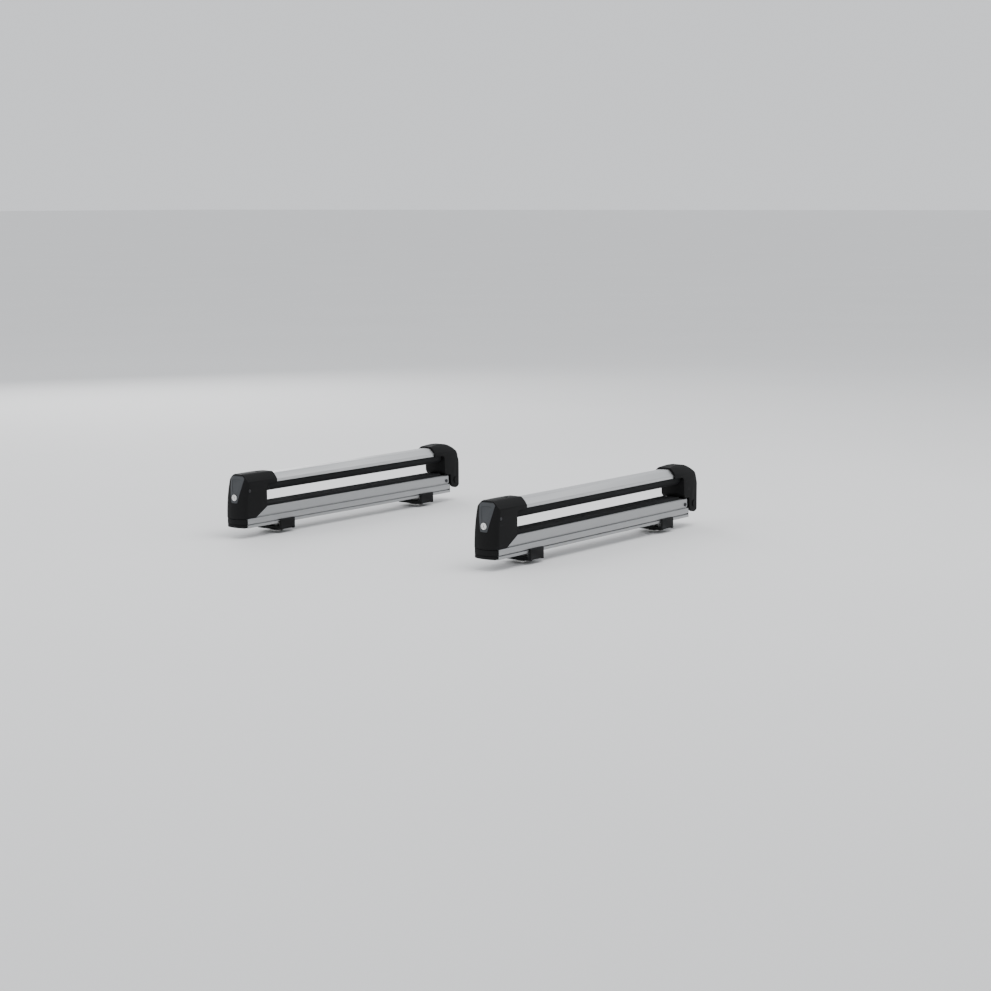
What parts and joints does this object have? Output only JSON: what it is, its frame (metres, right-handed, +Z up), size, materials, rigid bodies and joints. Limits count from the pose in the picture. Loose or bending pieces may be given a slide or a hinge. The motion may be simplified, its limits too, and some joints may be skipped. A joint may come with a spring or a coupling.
{
  "type": "roof ski carrier pair",
  "caption": "Pair of clamp-type roof ski carriers: aluminium rails and hinged arms with rubber strips, push-button housings with key locks, and brackets for T-slot load bars.",
  "frame": {"origin": "midway between the two carriers, level with the underside of the T-bolt heads", "axes": "+X along the carriers from the housing to the hinge end, +Y from the front carrier to the rear one, +Z up"},
  "size_m": [0.71, 0.7032, 0.1325],
  "materials": {
    "black_plastic": "fine-grained moulded glass-filled nylon, near black",
    "grey_plastic": "satin moulded plastic, mid grey",
    "rail_aluminium": "satin anodised extrusion",
    "arm_aluminium": "satin anodised extrusion",
    "rubber": "soft matt EPDM",
    "bracket_black": "black powder coat",
    "steel": "zinc-plated",
    "dark_steel": "black zinc",
    "lock_metal": "nickel-plated die casting",
    "nylon": "natural nylon"
  },
  "bodies": {
    "base": {"lower_rail_front": "rail_aluminium", "lower_pad_front": "rubber", "near_end_cap_front": "black_plastic", "hinge_block_front": "black_plastic", "hinge_pin_front": "steel", "striker_front": "steel", "near_bracket_front": "bracket_black", "far_bracket_front": "bracket_black", "lower_rail_rear": "rail_aluminium", "lower_pad_rear": "rubber", "near_end_cap_rear": "black_plastic", "hinge_block_rear": "black_plastic", "hinge_pin_rear": "steel", "striker_rear": "steel", "near_bracket_rear": "bracket_black", "far_bracket_rear": "bracket_black", "bar_pads": "rubber", "t_bolts": "steel", "t_bolt_nuts": "steel", "striker_screws": "steel", "hinge_screws": "dark_steel", "hinge_washers": "nylon", "hinge_pin_caps": "black_plastic"},
    "arm_front": {"upper_profile_front": "arm_aluminium", "upper_pad_front": "rubber", "housing_front": "black_plastic", "hinge_cap_front": "black_plastic", "arm_screws_front": "dark_steel", "spring_seat_front": "black_plastic", "button_spring_front": "steel", "pawl_pin_front": "dark_steel", "pawl_spring_front": "steel"},
    "button_front": {"release_button_front": "grey_plastic", "lock_barrel_front": "lock_metal"},
    "lock_front": {"lock_core_front": "lock_metal", "lock_cam_front": "steel"},
    "pawl_front": {"latch_pawl_front": "steel"},
    "arm_rear": {"upper_profile_rear": "arm_aluminium", "upper_pad_rear": "rubber", "housing_rear": "black_plastic", "hinge_cap_rear": "black_plastic", "arm_screws_rear": "dark_steel", "spring_seat_rear": "black_plastic", "button_spring_rear": "steel", "pawl_pin_rear": "dark_steel", "pawl_spring_rear": "steel"},
    "button_rear": {"release_button_rear": "grey_plastic", "lock_barrel_rear": "lock_metal"},
    "lock_rear": {"lock_core_rear": "lock_metal", "lock_cam_rear": "steel"},
    "pawl_rear": {"latch_pawl_rear": "steel"}
  },
  "joints": [
    {"name": "arm_front_hinge", "type": "hinge", "parent": "base", "child": "arm_front", "pos_m": [0.337, -0.318, 0.0485], "axis": [0, 1, 0], "range_deg": [0, 75]},
    {"name": "button_front_press", "type": "slide", "parent": "arm_front", "child": "button_front", "axis": [1, 0, 0], "range_m": [0, 0.004], "stiffness_N_per_m": 900, "springref_m": -0.006, "deforming": ["button_spring_front"]},
    {"name": "lock_front_turn", "type": "hinge", "parent": "button_front", "child": "lock_front", "pos_m": [-0.35, -0.318, 0.0832], "axis": [1, 0, 0], "range_deg": [0, 90]},
    {"name": "pawl_front_release", "type": "hinge", "parent": "arm_front", "child": "pawl_front", "pos_m": [-0.3363, -0.318, 0.0974], "axis": [0, 1, 0], "range_deg": [0, 12.5]},
    {"name": "arm_rear_hinge", "type": "hinge", "parent": "base", "child": "arm_rear", "pos_m": [0.337, 0.318, 0.0485], "axis": [0, 1, 0], "range_deg": [0, 75]},
    {"name": "button_rear_press", "type": "slide", "parent": "arm_rear", "child": "button_rear", "axis": [1, 0, 0], "range_m": [0, 0.004], "stiffness_N_per_m": 900, "springref_m": -0.006, "deforming": ["button_spring_rear"]},
    {"name": "lock_rear_turn", "type": "hinge", "parent": "button_rear", "child": "lock_rear", "pos_m": [-0.35, 0.318, 0.0832], "axis": [1, 0, 0], "range_deg": [0, 90]},
    {"name": "pawl_rear_release", "type": "hinge", "parent": "arm_rear", "child": "pawl_rear", "pos_m": [-0.3363, 0.318, 0.0974], "axis": [0, 1, 0], "range_deg": [0, 12.5]}
  ],
  "couplings": [
    {"joint": "pawl_front_release", "follows": "button_front_press", "rad_per_m": 54.532},
    {"joint": "pawl_rear_release", "follows": "button_rear_press", "rad_per_m": 54.532}
  ]
}
